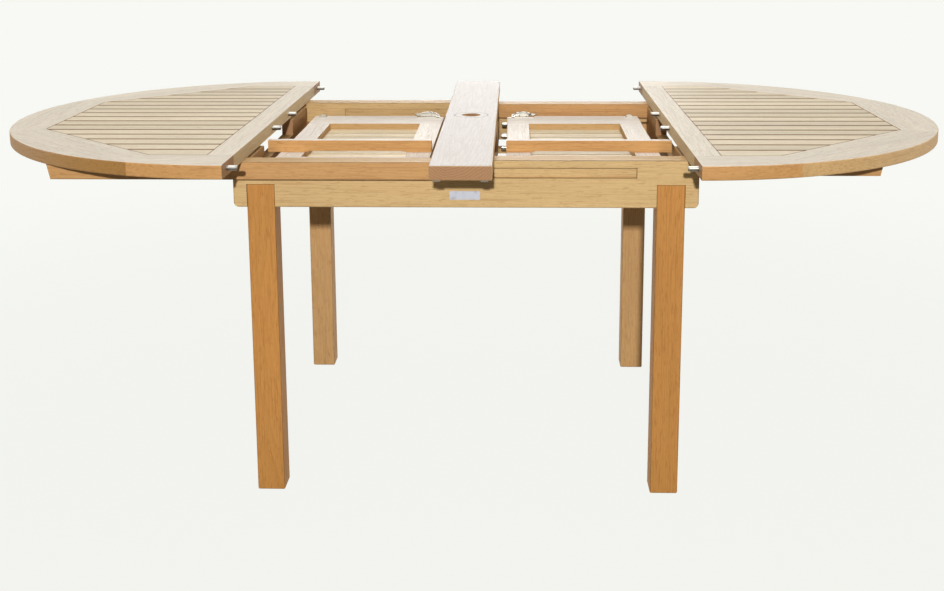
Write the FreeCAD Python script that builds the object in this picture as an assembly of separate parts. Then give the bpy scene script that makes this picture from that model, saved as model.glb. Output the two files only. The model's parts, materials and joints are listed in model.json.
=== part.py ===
import FreeCAD, Part
import math
import os

# Oval extending dining table in teak, pulled out to its full length.
# X runs along the table, Y from front to back and Z up. The floor is at zero and the
# origin lies under the middle of the centre board. All sizes are in millimetres.

# Overall table
table_height = 750.0
table_depth = 1200.0
top_thickness = 28.0
board_width = 120.0

# Clearances and cutter overrun
slide_gap = 0.5
seat_gap = 0.3
fold_gap = 0.6
pin_clearance = 0.4
dowel_clearance = 0.1
hinge_clearance = 0.05
overrun = 5.0

# Aprons and their guide grooves
apron_thickness = 26.0
apron_end_round = 10.0
groove_height = 20.0
groove_depth = 8.0

# Legs and end rails
leg_width = 58.0
leg_inset = 27.0
leg_clearance = 14.0
leg_round = 3.0
foot_bevel = 2.0
fork_web = 10.0
end_rail_drop = 6.5
notch_depth = 38.0
notch_front_gap = 45.0
notch_back_gap = 292.0

# Centre rails, board block, leaf bearers
centre_rail_thickness = 25.0
centre_rail_clearance = 10.0
board_block_depth = 140.0
bearer_width = 40.0
bearer_height = 12.0
bearer_back = 200.0
bearer_front = 180.0

# Centre board and parasol hole
board_round = 2.5
runner_relief = 1.0
parasol_bore = 44.0
sleeve_wall = 5.0
ring_diameter = 78.0
ring_thickness = 4.0
board_pin_depth = 22.0

# Half tops
inner_rail_width = 51.0
rim_width = 75.0
rim_end_joint_angle = 22.3
rim_side_joint_angle = 71.3
rim_round = 3.0
slat_count = 17
slat_gap = 5.0
slat_thickness = 13.0
slat_round = 1.5
batten_width = 28.0
batten_lift = 2.0
outer_batten_gap = 30.0
middle_batten_place = 236.0

# Runners that carry the half tops
runner_height = 37.0
runner_thickness = 22.0
runner_tail = 409.0
runner_setback = 197.0
runner_end_slope = 8.0
tongue_length = 299.0

# Steel locating pins
pin_diameter = 10.5
pin_reach = 20.0
pin_depth = 25.0
pin_near = 100.0
pin_end_inset = 45.0
leaf_pin_middle = 377.0
leaf_pin_reach = 15.0
pin_bevel = 2.0

# Folding leaves, stored upside down in the wells
leaf_width = 338.0
leaf_inner_gap = 23.0
leaf_side_gap = 27.0
leaf_end_gap = 2.0
leaf_front_room = 97.5
leaf_drop = 30.0
well_pin_gap = 9.0
leaf_stile_width = 55.0
leaf_far_rail_width = 121.0
leaf_fold_rail_width = 40.0
leaf_slat_count = 8
leaf_round = 1.5
leaf_batten_place = 92.0
leaf_batten_thickness = 18.0
leaf_batten_height = 27.0
leaf_batten_scoop = 3.0
leaf_batten_slope = 12.0
leaf_batten_overhang = 27.5

# Hinges between the two panels of a leaf
hinge_width = 50.0
hinge_plate_thickness = 2.0
hinge_plate_height = 20.0
hinge_knuckle_radius = 4.0
hinge_pin_radius = 2.0
hinge_side_gap = 0.4
hinge_offset = 85.0

# Toggle latch and catch plates
latch_edge = 12.0
latch_length = 70.0
latch_width = 18.0
latch_plate_thickness = 1.6
latch_pivot_place = 15.0
latch_pivot_rise = 6.2
latch_pin_radius = 1.6
latch_barrel_radius = 3.0
latch_ear_thickness = 2.0
latch_ear_width = 8.0
latch_side_gap = 0.5
lever_length = 60.0
lever_thickness = 3.0
lever_claw_width = 8.0
lever_claw_drop = 1.0
catch_length = 20.0
catch_width = 14.0
catch_thickness = 3.0
board_catch_inset = 8.0
board_catch_end = 14.0

# Fasteners and the blank plate
bolt_radius = 4.0
bolt_head_radius = 7.5
bolt_head_height = 6.0
bolt_cover = 4.0
bolt_low_rise = 14.0
bolt_high_rise = 34.0
screw_radius = 2.5
screw_head_radius = 5.0
screw_head_height = 3.0
screw_bite = 16.0
rail_screw_place = 25.5
rim_screw_end = 31.0
rim_screw_pitch = 37.0
board_screw_x = 24.0
board_screw_y = 50.0
plate_length = 62.0
plate_height = 18.0
plate_thickness = 1.2
plate_rise = 16.5
plate_round = 1.5

# Places worked out from the sizes above. The stored leaves set the room between the
# aprons and the end rails, and the depth of the aprons.
half_board = board_width / 2
top_radius = table_depth / 2
top_underside = table_height - top_thickness
slat_underside = table_height - slat_thickness
leaf_length = top_radius
leaf_start = half_board + leaf_inner_gap
leaf_end = leaf_start + leaf_width
leaf_top = top_underside - leaf_drop
upper_bottom = leaf_top - top_thickness
lower_top = upper_bottom - fold_gap
lower_bottom = lower_top - top_thickness
fold_axis_height = upper_bottom - fold_gap / 2
bearer_top = lower_bottom - seat_gap
runner_bottom = top_underside - runner_height
runner_reach = top_radius - runner_setback
apron_top = top_underside - slide_gap
apron_bottom = bearer_top - bearer_height
well_depth = leaf_length + leaf_end_gap + leaf_front_room
apron_face = (well_depth + leg_width + apron_thickness + slide_gap + runner_thickness) / 2
apron_inside = apron_face - apron_thickness
leg_outside = leaf_end + leaf_side_gap
leg_inside = leg_outside - leg_width
leg_back = apron_face - leg_width
leg_top = runner_bottom - leg_clearance
apron_end = leg_outside + leg_inset
fork_cheek = (apron_thickness - fork_web) / 2
centre_rail_top = runner_bottom - centre_rail_clearance
leaf_far = leg_back - leaf_end_gap
leaf_fold = leaf_length - leaf_far
fold_axis_front = leaf_fold + fold_gap / 2
top_edge = leaf_end + well_pin_gap + pin_reach
slide_travel = top_edge - half_board - slide_gap
tongue_inner_end = top_edge - runner_tail
rim_joint_radius = top_radius - rim_width
pin_radius = pin_diameter / 2
pin_height = table_height - top_thickness / 2
pin_far = top_radius - pin_end_inset
rim_screw_far = runner_reach - rim_screw_end
rim_screw_near = rim_screw_far - rim_screw_pitch
latch_height = leaf_top + latch_pivot_rise

along_x = FreeCAD.Vector(1, 0, 0)
along_y = FreeCAD.Vector(0, 1, 0)
along_z = FreeCAD.Vector(0, 0, 1)
origin = FreeCAD.Vector(0, 0, 0)
half_turn = 180.0
parallel_share = 0.999


def block(x_pair, y_pair, z_pair):
    """Upright block between two places on each axis."""
    low = [min(pair) for pair in (x_pair, y_pair, z_pair)]
    size = [max(pair) - min(pair) for pair in (x_pair, y_pair, z_pair)]
    return Part.makeBox(*size, FreeCAD.Vector(*low))


def rod(start, direction, radius, length):
    """Round bar from a start point along a direction."""
    return Part.makeCylinder(radius, length, FreeCAD.Vector(*start), direction)


def prism(points, z_pair):
    """Flat outline in plan, extruded between two heights."""
    base = [FreeCAD.Vector(x, y, z_pair[0]) for x, y in points]
    face = Part.Face(Part.makePolygon(base + base[:1]))
    return face.extrude(along_z * (z_pair[1] - z_pair[0]))


def softened(shape, radius, direction):
    """Round every straight edge that runs along a direction."""
    edges = []
    for edge in shape.Edges:
        if isinstance(edge.Curve, Part.Line):
            if abs(edge.tangentAt(edge.FirstParameter).dot(direction)) > parallel_share:
                edges.append(edge)
    return shape.makeFillet(radius, edges)


def mirrored(pair, side):
    """Turn a pair of distances from the centre into places on one side."""
    return (side * pair[0], side * pair[1])


def turned(shape):
    """Copy of a shape turned half round about the middle of the table."""
    copy = shape.copy()
    copy.rotate(origin, along_z, half_turn)
    return copy


def cut_all(shape, cutters):
    """Remove a list of cutters from a shape."""
    for cutter in cutters:
        shape = shape.cut(cutter)
    return shape


def save(name, solids):
    """Write one node, which holds one solid or a group of them."""
    pieces = []
    for solid in solids:
        pieces.extend(solid.Solids)
    shape = pieces[0] if len(pieces) == 1 else Part.makeCompound(pieces)
    shape.exportStep("parts/" + name + ".step")


def tongue_groove(x_pair, y_pair):
    """Guide groove cut along an apron face."""
    return block(x_pair, y_pair, (runner_bottom, runner_bottom + groove_height))


def make_apron(front):
    """Front or back apron with leg housings and a guide groove on each face."""
    apron_y = mirrored((apron_inside, apron_face), front)
    apron = block((-apron_end, apron_end), apron_y, (apron_bottom, apron_top))
    apron = softened(apron, apron_end_round, along_y)
    groove_near = tongue_inner_end + tongue_length + slide_gap
    groove_far = slide_travel - tongue_inner_end + slide_gap
    outer_groove = mirrored((apron_face - groove_depth, apron_face + overrun), front)
    inner_groove = mirrored((apron_inside - overrun, apron_inside + groove_depth), front)
    cutters = [
        tongue_groove((-groove_near, groove_far), outer_groove),
        tongue_groove((groove_near, -groove_far), inner_groove),
    ]
    outer_cheek = mirrored((apron_face - fork_cheek, apron_face + overrun), front)
    inner_cheek = mirrored((apron_inside - overrun, apron_inside + fork_cheek), front)
    for side in (-1, 1):
        housing_x = mirrored((leg_inside, leg_outside), side)
        housing_z = (apron_bottom - overrun, leg_top)
        cutters.append(block(housing_x, outer_cheek, housing_z))
        cutters.append(block(housing_x, inner_cheek, housing_z))
        for bolt in leg_bolt_places():
            cutters.append(leg_bolt_hole(side, front, bolt))
    return cut_all(apron, cutters)


def leg_bolt_places():
    """Heights of the two bolts in each leg."""
    return (apron_bottom + bolt_low_rise, apron_bottom + bolt_high_rise)


def leg_bolt_middle(side):
    """Place of the leg bolts along the table."""
    return side * (leg_inside + leg_outside) / 2


def leg_bolt(side, front, height):
    """Bolt with a sunk head, driven from inside through the fork of a leg."""
    x = leg_bolt_middle(side)
    outward = along_y * front
    length = leg_width - bolt_cover
    shank = rod((x, front * leg_back, height), outward, bolt_radius, length)
    head = rod((x, front * leg_back, height), outward, bolt_head_radius, bolt_head_height)
    return head.fuse(shank).removeSplitter()


def leg_bolt_hole(side, front, height):
    """Hole for a leg bolt, open to the inside of the frame."""
    x = leg_bolt_middle(side)
    outward = along_y * front
    mouth = front * (leg_back - overrun)
    length = overrun + leg_width - bolt_cover
    shank = rod((x, mouth, height), outward, bolt_radius + dowel_clearance, length)
    head = rod((x, mouth, height), outward, bolt_head_radius + dowel_clearance, overrun + bolt_head_height)
    return shank.fuse(head)


def make_leg(side, front):
    """Square leg with a fork that takes the web of the apron."""
    x_pair = mirrored((leg_inside, leg_outside), side)
    y_pair = mirrored((leg_back, apron_face), front)
    leg = softened(block(x_pair, y_pair, (0, leg_top)), leg_round, along_z)
    foot = [edge for edge in leg.Edges if edge.BoundBox.ZMax < foot_bevel]
    leg = leg.makeChamfer(foot_bevel, foot)
    web = mirrored((apron_inside + fork_cheek, apron_face - fork_cheek), front)
    wide = mirrored((leg_inside - overrun, leg_outside + overrun), side)
    cutters = [block(wide, web, (apron_bottom, leg_top + overrun))]
    cutters += [leg_bolt_hole(side, front, height) for height in leg_bolt_places()]
    return cut_all(leg, cutters)


def make_centre_board():
    """Fixed board across the middle, with its parasol hole and pin holes."""
    board = block((-half_board, half_board), (-top_radius, top_radius), (apron_top, table_height))
    board = softened(board, board_round, along_y)
    board = softened(board, board_round, along_x)
    sleeve = parasol_bore / 2 + sleeve_wall
    cutters = [
        rod((0, 0, apron_top - overrun), along_z, sleeve, top_thickness + slide_gap + overrun * 2),
        rod((0, 0, table_height - ring_thickness), along_z, ring_diameter / 2, ring_thickness + overrun),
    ]
    for front in (-1, 1):
        relief_z = (apron_top - overrun, apron_top + runner_relief)
        wide = (-half_board - overrun, half_board + overrun)
        outer_lane = (apron_face, apron_face + runner_thickness + slide_gap * 2)
        inner_lane = (apron_inside, apron_inside - runner_thickness - slide_gap * 2)
        cutters.append(block(wide, mirrored(outer_lane, front), relief_z))
        cutters.append(block(wide, mirrored(inner_lane, front), relief_z))
        for place in (pin_near, leaf_pin_middle, pin_far):
            for side in (-1, 1):
                start = (side * (half_board + overrun), front * place, pin_height)
                radius = pin_radius + pin_clearance
                cutters.append(rod(start, along_x * -side, radius, board_pin_depth + overrun))
    cutters += [board_screw_hole(x, y) for x, y in board_screw_places()]
    return cut_all(board, cutters)


def make_parasol_ring():
    """Flanged ring that lines the parasol hole."""
    flange = rod((0, 0, table_height - ring_thickness), along_z, ring_diameter / 2, ring_thickness)
    sleeve_radius = parasol_bore / 2 + sleeve_wall
    sleeve = rod((0, 0, apron_top), along_z, sleeve_radius, top_thickness + slide_gap)
    bore = rod((0, 0, apron_top - overrun), along_z, parasol_bore / 2, table_height)
    return flange.fuse(sleeve).cut(bore).removeSplitter()


def board_screw_places():
    """Places of the four screws that hold the board to its block."""
    return [(x, y) for x in (-board_screw_x, board_screw_x) for y in (-board_screw_y, board_screw_y)]


def board_screw_length():
    """Length of a board screw above the underside of the block."""
    return apron_top - centre_rail_top + screw_bite


def board_screw(x, y):
    """Screw driven up through the block into the board."""
    shank = rod((x, y, centre_rail_top), along_z, screw_radius, board_screw_length())
    head = rod((x, y, centre_rail_top), along_z, screw_head_radius, screw_head_height)
    return head.fuse(shank).removeSplitter()


def board_screw_hole(x, y):
    """Hole for a board screw, sunk for its head."""
    start = (x, y, centre_rail_top - overrun)
    shank = rod(start, along_z, screw_radius + dowel_clearance, board_screw_length() + overrun)
    head = rod(start, along_z, screw_head_radius + dowel_clearance, screw_head_height + overrun)
    return shank.fuse(head)


def make_board_block():
    """Block that carries the middle of the board on the centre rails."""
    half_depth = board_block_depth / 2
    body = block((-half_board, half_board), (-half_depth, half_depth), (centre_rail_top, apron_top))
    bore = rod((0, 0, centre_rail_top - overrun), along_z, parasol_bore / 2, apron_top)
    return cut_all(body, [bore] + [board_screw_hole(x, y) for x, y in board_screw_places()])


def make_end_rail(side):
    """Rail between the apron ends, stepped under the runners and notched for the leaf's batten."""
    rail_top = apron_top - end_rail_drop
    rail_x = mirrored((leg_outside, apron_end), side)
    rail = block(rail_x, (-apron_inside, apron_inside), (apron_bottom, leg_top))
    rail = rail.fuse(block(rail_x, (-leg_back, leg_back), (apron_bottom, rail_top))).removeSplitter()
    batten_y = leaf_y(leaf_batten_place, leaf_batten_place + leaf_batten_thickness)
    notch_y = (batten_y[0] - notch_front_gap, batten_y[1] + notch_back_gap)
    notch_x = mirrored((leg_outside - overrun, apron_end + overrun), side)
    return rail.cut(block(notch_x, notch_y, (rail_top - notch_depth, apron_top)))


def make_base():
    """Write the fixed base of the table."""
    save("front_apron", [make_apron(-1)])
    save("back_apron", [make_apron(1)])
    for side, side_name in ((-1, "left"), (1, "right")):
        for front, front_name in ((-1, "front"), (1, "back")):
            save(front_name + "_" + side_name + "_leg", [make_leg(side, front)])
        save(side_name + "_end_rail", [make_end_rail(side)])
    rails = []
    bearers = []
    bolts = []
    catches = []
    for side in (-1, 1):
        rail_x = mirrored((half_board - centre_rail_thickness, half_board), side)
        rails.append(block(rail_x, (-apron_inside, apron_inside), (apron_bottom, centre_rail_top)))
        for place in (-bearer_front, bearer_back):
            bearer_x = mirrored((half_board, leg_outside), side)
            bearer_y = (place - bearer_width / 2, place + bearer_width / 2)
            bearers.append(block(bearer_x, bearer_y, (apron_bottom, bearer_top)))
        for front in (-1, 1):
            bolts += [leg_bolt(side, front, height) for height in leg_bolt_places()]
        catch_edge = half_board - board_catch_inset
        catch_x = mirrored((catch_edge - catch_width, catch_edge), side)
        catch_middle = board_catch_end - top_radius
        catch_y = (catch_middle - catch_length / 2, catch_middle + catch_length / 2)
        catches.append(block(catch_x, catch_y, (apron_top - catch_thickness, apron_top)))
    save("centre_rails", rails)
    save("leaf_bearers", bearers)
    save("leg_bolts", bolts)
    save("board_catches", catches)
    save("centre_board", [make_centre_board()])
    save("parasol_ring", [make_parasol_ring()])
    save("board_block", [make_board_block()])
    save("board_screws", [board_screw(x, y) for x, y in board_screw_places()])
    plate_z = (apron_bottom + plate_rise, apron_bottom + plate_rise + plate_height)
    plate_y = (-apron_face - plate_thickness, -apron_face)
    plate = block((-plate_length / 2, plate_length / 2), plate_y, plate_z)
    save("blank_plate", [softened(plate, plate_round, along_y)])


def make_rim_field():
    """Ring of the half top outside the slats, and the slat field inside it."""
    z_pair = (top_underside, table_height)
    disc = rod((0, 0, top_underside), along_z, top_radius, top_thickness)
    inner_side = block((-table_depth, 0), (-table_depth, table_depth), z_pair)
    corners = []
    for angle in (rim_side_joint_angle, rim_end_joint_angle):
        turn = math.radians(angle)
        corners.append((rim_joint_radius * math.cos(turn), rim_joint_radius * math.sin(turn)))
    outlines = []
    for start in (0, inner_rail_width):
        back = [(start, corners[0][1])] + corners
        outlines.append(back + [(x, -y) for x, y in reversed(back)])
    ring = disc.cut(inner_side).cut(prism(outlines[0], z_pair))
    return ring, outlines[1]


def sector(start_angle, end_angle):
    """Wedge in plan that reaches well past the rim."""
    points = [(0, 0)]
    for angle in (start_angle, end_angle):
        turn = math.radians(angle)
        points.append((table_depth * math.cos(turn), table_depth * math.sin(turn)))
    return prism(points, (top_underside, table_height))


def rounded_rim(shape):
    """Round the curved outer edges of a rim piece, above and below."""
    edges = []
    for edge in shape.Edges:
        if isinstance(edge.Curve, Part.Circle):
            if edge.Curve.Radius > rim_joint_radius:
                edges.append(edge)
    return shape.makeFillet(rim_round, edges)


def runner_lanes(side):
    """Apron face beside each runner, and which way the runner lies from it.

    The left half's runners lie outside the aprons and the right half's inside. Both halves are set out
    alike, so the left one's front runner comes to the front when that half is turned.
    """
    face = apron_face if side < 0 else apron_inside
    return {"front_runner": (-side * face, 1), "back_runner": (side * face, -1)}


def runner_screw_places(lanes):
    """Places of the runner screws, outward from the inner edge and across the table."""
    places = []
    for outward in (rail_screw_place, rim_screw_near, rim_screw_far):
        for face, away in lanes.values():
            places.append((outward, face + away * (slide_gap + runner_thickness / 2)))
    return places


def runner_screw(outward, across):
    """Screw driven up through a runner into the half top."""
    start = (outward, across, runner_bottom)
    head = rod(start, along_z, screw_head_radius, screw_head_height)
    return head.fuse(rod(start, along_z, screw_radius, runner_height + screw_bite)).removeSplitter()


def runner_screw_hole(outward, across):
    """Hole for a runner screw, sunk for its head."""
    start = (outward, across, runner_bottom - overrun)
    length = overrun + runner_height + screw_bite
    shank = rod(start, along_z, screw_radius + dowel_clearance, length)
    head = rod(start, along_z, screw_head_radius + dowel_clearance, overrun + screw_head_height)
    return shank.fuse(head)


def make_runner(face, away, holes):
    """Runner beside an apron face, with the tongue that rides in its groove and a lowered tail."""
    near = face + away * slide_gap
    body_y = (near, near + away * runner_thickness)
    body = block((-runner_tail, runner_reach), body_y, (runner_bottom, top_underside))
    slope = Part.makePolygon([
        FreeCAD.Vector(runner_reach - runner_end_slope, near, runner_bottom),
        FreeCAD.Vector(runner_reach, near, top_underside),
        FreeCAD.Vector(runner_reach, near, runner_bottom),
        FreeCAD.Vector(runner_reach - runner_end_slope, near, runner_bottom),
    ])
    body = body.cut(Part.Face(slope).extrude(along_y * away * runner_thickness))
    body = body.cut(block((-runner_tail, 0), body_y, (top_underside - slide_gap, top_underside)))
    tongue_z = (runner_bottom + slide_gap, runner_bottom + groove_height - slide_gap)
    tongue_x = (-runner_tail, -runner_tail + tongue_length)
    tongue = block(tongue_x, (near, face - away * (groove_depth - slide_gap)), tongue_z)
    return cut_all(body.fuse(tongue).removeSplitter(), holes)


def bevelled_pin(start, direction, length):
    """Steel pin with a bevel round its free end."""
    pin = rod(start, direction, pin_radius, length)
    tip = FreeCAD.Vector(*start) + direction * length
    closed = [edge for edge in pin.Edges if edge.Closed]
    rims = [edge for edge in closed if edge.BoundBox.Center.distanceToPoint(tip) < pin_radius]
    return pin.makeChamfer(pin_bevel, rims)


def make_half_top(lanes):
    """All pieces of a half top, set out from its straight inner edge."""
    ring, outline = make_rim_field()
    screw_holes = [runner_screw_hole(*place) for place in runner_screw_places(lanes)]
    end_angle = rim_end_joint_angle
    side_angle = rim_side_joint_angle
    square = half_turn / 2
    sectors = {
        "rim_end": [(-end_angle, end_angle)],
        "rim_corners": [(end_angle, side_angle), (-side_angle, -end_angle)],
        "rim_sides": [(side_angle, square), (-square, -side_angle)],
    }
    pins = []
    holes = list(screw_holes)
    for place in (pin_near, pin_far, -pin_near, -pin_far):
        start = (pin_depth, place, pin_height)
        pins.append(bevelled_pin(start, -along_x, pin_depth + pin_reach))
        holes.append(rod(start, -along_x, pin_radius + dowel_clearance, pin_depth + overrun))
    pieces = {}
    for name, spans in sectors.items():
        pieces[name] = []
        for span in spans:
            piece = rounded_rim(ring.common(sector(*span)))
            pieces[name].append(cut_all(piece, holes))
    field_half = outline[0][1]
    rail_z = (top_underside, table_height)
    rail = block((0, inner_rail_width), (-field_half, field_half), rail_z)
    pieces["inner_rail"] = [cut_all(rail, holes)]
    pieces["pins"] = pins
    pitch = field_half * 2 / slat_count
    field = prism(outline, (slat_underside, table_height))
    slats = []
    for index in range(slat_count):
        low = -field_half + index * pitch + slat_gap / 2
        if index == 0:
            low = -field_half
        high = -field_half + (index + 1) * pitch - slat_gap / 2
        if index == slat_count - 1:
            high = field_half
        strip = block((0, table_depth), (low, high), (slat_underside, table_height))
        slats.append(softened(field.common(strip), slat_round, along_x))
    pieces["slats"] = slats
    batten_z = (top_underside + batten_lift, slat_underside)
    recess = prism(outline, batten_z)
    outer_batten_place = outline[2][0] - outer_batten_gap - batten_width
    battens = []
    for place in (middle_batten_place, outer_batten_place):
        strip = block((place, place + batten_width), (-field_half, field_half), batten_z)
        battens.append(recess.common(strip))
    pieces["cross_battens"] = battens
    for name, (face, away) in lanes.items():
        pieces[name] = [make_runner(face, away, screw_holes)]
    pieces["runner_screws"] = [runner_screw(*place) for place in runner_screw_places(lanes)]
    return pieces


def make_half_tops():
    """Write the right half top and, turned half round, the left one."""
    for side, side_name in ((-1, "left"), (1, "right")):
        for name, solids in make_half_top(runner_lanes(side)).items():
            placed = []
            for solid in solids:
                copy = solid.copy()
                copy.translate(along_x * top_edge)
                placed.append(copy if side > 0 else turned(copy))
            save(side_name + "_" + name, placed)


def leaf_x(side, low, high):
    """Pair of places across a leaf, counted from its inner edge."""
    return mirrored((leaf_start + low, leaf_start + high), side)


def leaf_y(low, high):
    """Pair of places along a leaf, counted from its fold."""
    return (low - leaf_fold, high - leaf_fold)


def hinge_middles(side):
    """Middles of the two hinges of a leaf along the fold."""
    middle = leaf_start + leaf_width / 2
    return (side * (middle - hinge_offset), side * (middle + hinge_offset))


def fold_bar(x_pair, radius):
    """Round bar on the fold line of a leaf."""
    start = (min(x_pair), -fold_axis_front, fold_axis_height)
    return rod(start, along_x, radius, max(x_pair) - min(x_pair))


def hinge_spans(middle):
    """The two outer knuckles and the middle knuckle of a hinge."""
    half = hinge_width / 2
    inner = hinge_width / 6
    gap = hinge_side_gap / 2
    outer = [(middle - half, middle - inner - gap), (middle + inner + gap, middle + half)]
    return outer, (middle - inner + gap, middle + inner - gap)


def hinge_plate(middle, up):
    """Flat plate of a hinge, let into the fold edge of one panel."""
    x_pair = (middle - hinge_width / 2, middle + hinge_width / 2)
    y_pair = leaf_y(0, hinge_plate_thickness)
    return block(x_pair, y_pair, (fold_axis_height, fold_axis_height + up * hinge_plate_height))


def hinge_pocket(middle, up):
    """Room for a hinge in the fold edge of one panel."""
    half = hinge_width / 2
    wide = (middle - half - hinge_side_gap, middle + half + hinge_side_gap)
    return hinge_plate(middle, up).fuse(fold_bar(wide, hinge_knuckle_radius + pin_clearance))


def make_hinges(side):
    """Lower and upper hinge pieces of a leaf."""
    lower = []
    upper = []
    for middle in hinge_middles(side):
        outer, inner = hinge_spans(middle)
        clear = hinge_knuckle_radius + pin_clearance
        flat_low = block((middle - hinge_width, middle + hinge_width), leaf_y(-leaf_fold, leaf_length),
                         (lower_top, upper_bottom))
        pin = fold_bar((middle - hinge_width / 2, middle + hinge_width / 2), hinge_pin_radius)
        low = hinge_plate(middle, -1).cut(flat_low)
        gap = (inner[0] - hinge_side_gap, inner[1] + hinge_side_gap)
        low = low.cut(fold_bar(gap, clear))
        for span in outer:
            low = low.fuse(fold_bar(span, hinge_knuckle_radius))
        lower.append(low.fuse(pin).removeSplitter())
        high = hinge_plate(middle, 1).cut(flat_low)
        for span in outer:
            wide = (span[0] - hinge_side_gap, span[1] + hinge_side_gap)
            high = high.cut(fold_bar(wide, clear))
        high = high.fuse(fold_bar(inner, hinge_knuckle_radius))
        bore = (middle - hinge_width, middle + hinge_width)
        high = high.cut(fold_bar(bore, hinge_pin_radius + hinge_clearance))
        upper.append(high.removeSplitter())
    return lower, upper


def make_leaf_panel(side, bottom, face_up, hinge_up):
    """Frame, slats and pins of one panel of a leaf."""
    z_pair = (bottom, bottom + top_thickness)
    middle_height = bottom + top_thickness / 2
    rail_start = leaf_length - leaf_far_rail_width
    rail_x = leaf_x(side, 0, leaf_width)
    stile_y = leaf_y(leaf_fold_rail_width, rail_start)
    frame = []
    for rail_y in (leaf_y(rail_start, leaf_length), leaf_y(0, leaf_fold_rail_width)):
        frame.append(softened(block(rail_x, rail_y, z_pair), leaf_round, along_x))
    for start in (0, leaf_width - leaf_stile_width):
        stile_x = leaf_x(side, start, start + leaf_stile_width)
        frame.append(softened(block(stile_x, stile_y, z_pair), leaf_round, along_y))
    inward = along_x * -side
    pins = []
    cutters = [hinge_pocket(middle, hinge_up) for middle in hinge_middles(side)]
    for place in (leaf_pin_middle, pin_far):
        start = (side * (leaf_start + pin_depth), place - leaf_fold, middle_height)
        pins.append(bevelled_pin(start, inward, pin_depth + leaf_pin_reach))
        cutters.append(rod(start, inward, pin_radius + dowel_clearance, pin_depth + overrun))
    for place in (pin_near, pin_far):
        start = (side * (leaf_end + overrun), place - leaf_fold, middle_height)
        cutters.append(rod(start, inward, pin_radius + pin_clearance, board_pin_depth + overrun))
    frame = [cut_all(piece, cutters) for piece in frame]
    slat_z = (bottom + top_thickness - slat_thickness, bottom + top_thickness)
    if not face_up:
        slat_z = (bottom, bottom + slat_thickness)
    pitch = (rail_start - leaf_fold_rail_width) / leaf_slat_count
    slats = []
    for index in range(leaf_slat_count):
        low = leaf_fold_rail_width + index * pitch
        high = low + pitch
        if index > 0:
            low += slat_gap / 2
        if index < leaf_slat_count - 1:
            high -= slat_gap / 2
        slat_x = leaf_x(side, leaf_stile_width, leaf_width - leaf_stile_width)
        slats.append(softened(block(slat_x, leaf_y(low, high), slat_z), slat_round, along_x))
    return frame, slats, pins


def make_leaf_batten(side):
    """Batten across the underside of the upper panel, hollowed between its feet."""
    y_pair = leaf_y(leaf_batten_place, leaf_batten_place + leaf_batten_thickness)
    z_pair = (leaf_top, leaf_top + leaf_batten_height)
    batten_x = leaf_x(side, 0, leaf_width + leaf_batten_overhang)
    batten = softened(block(batten_x, y_pair, z_pair), leaf_round, along_x)
    inner, outer = leaf_x(side, leaf_stile_width, leaf_width - leaf_stile_width)
    slope = side * leaf_batten_slope
    points = [
        (inner, leaf_top),
        (inner + slope, leaf_top + leaf_batten_scoop),
        (outer - slope, leaf_top + leaf_batten_scoop),
        (outer, leaf_top),
    ]
    corners = [FreeCAD.Vector(x, y_pair[0] - overrun, z) for x, z in points]
    scoop = Part.Face(Part.makePolygon(corners + corners[:1]))
    return batten.cut(scoop.extrude(along_y * (leaf_batten_thickness + overrun * 2)))


def make_latch(side):
    """Base and lever of the toggle latch, and the catch plate across from it."""
    far = leaf_far - latch_edge
    y_pair = (far - latch_width, far)
    base_z = (leaf_top, leaf_top + latch_plate_thickness)
    base = block(leaf_x(side, 0, latch_length), y_pair, base_z)
    pivot = side * (leaf_start + latch_pivot_place)
    ear_x = (pivot - latch_ear_width / 2, pivot + latch_ear_width / 2)
    ear_z = (leaf_top, latch_height + latch_barrel_radius)
    inner = (y_pair[0] + latch_ear_thickness, y_pair[1] - latch_ear_thickness)
    base = base.fuse(block(ear_x, (y_pair[0], inner[0]), ear_z))
    base = base.fuse(block(ear_x, (inner[1], y_pair[1]), ear_z))
    base = base.fuse(rod((pivot, y_pair[0], latch_height), along_y, latch_pin_radius, latch_width))
    arm_y = (inner[0] + latch_side_gap, inner[1] - latch_side_gap)
    arm_z = (latch_height - lever_thickness / 2, latch_height + lever_thickness / 2)
    tip = pivot + side * lever_length
    lever = block((pivot, tip), arm_y, arm_z)
    claw_z = (arm_z[0] - lever_claw_drop, arm_z[1] + lever_claw_drop)
    lever = lever.fuse(block((tip, tip - side * lever_claw_width), arm_y, claw_z))
    arm_width = arm_y[1] - arm_y[0]
    lever = lever.fuse(rod((pivot, arm_y[0], latch_height), along_y, latch_barrel_radius, arm_width))
    bore = rod((pivot, y_pair[0], latch_height), along_y, latch_pin_radius + hinge_clearance, latch_width)
    lever = lever.cut(bore).removeSplitter()
    catch_x = leaf_x(side, leaf_width - latch_edge - catch_length, leaf_width - latch_edge)
    catch = block(catch_x, (far - catch_width, far), (leaf_top, leaf_top + catch_thickness))
    return base.removeSplitter(), lever, catch


def make_leaves():
    """Write both folding leaves."""
    for side, name in ((-1, "left"), (1, "right")):
        lower_hinges, upper_hinges = make_hinges(side)
        frame, slats, pins = make_leaf_panel(side, lower_bottom, True, -1)
        save(name + "_lower_leaf_frame", frame)
        save(name + "_lower_leaf_slats", slats)
        save(name + "_lower_leaf_pins", pins)
        save(name + "_lower_leaf_hinges", lower_hinges)
        frame, slats, pins = make_leaf_panel(side, upper_bottom, False, 1)
        save(name + "_upper_leaf_frame", frame)
        save(name + "_upper_leaf_slats", slats)
        save(name + "_upper_leaf_pins", pins)
        save(name + "_upper_leaf_hinges", upper_hinges)
        save(name + "_leaf_batten", [make_leaf_batten(side)])
        base, lever, catch = make_latch(side)
        save(name + "_leaf_fittings", [base, catch])
        save(name + "_latch_lever", [lever])


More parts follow.
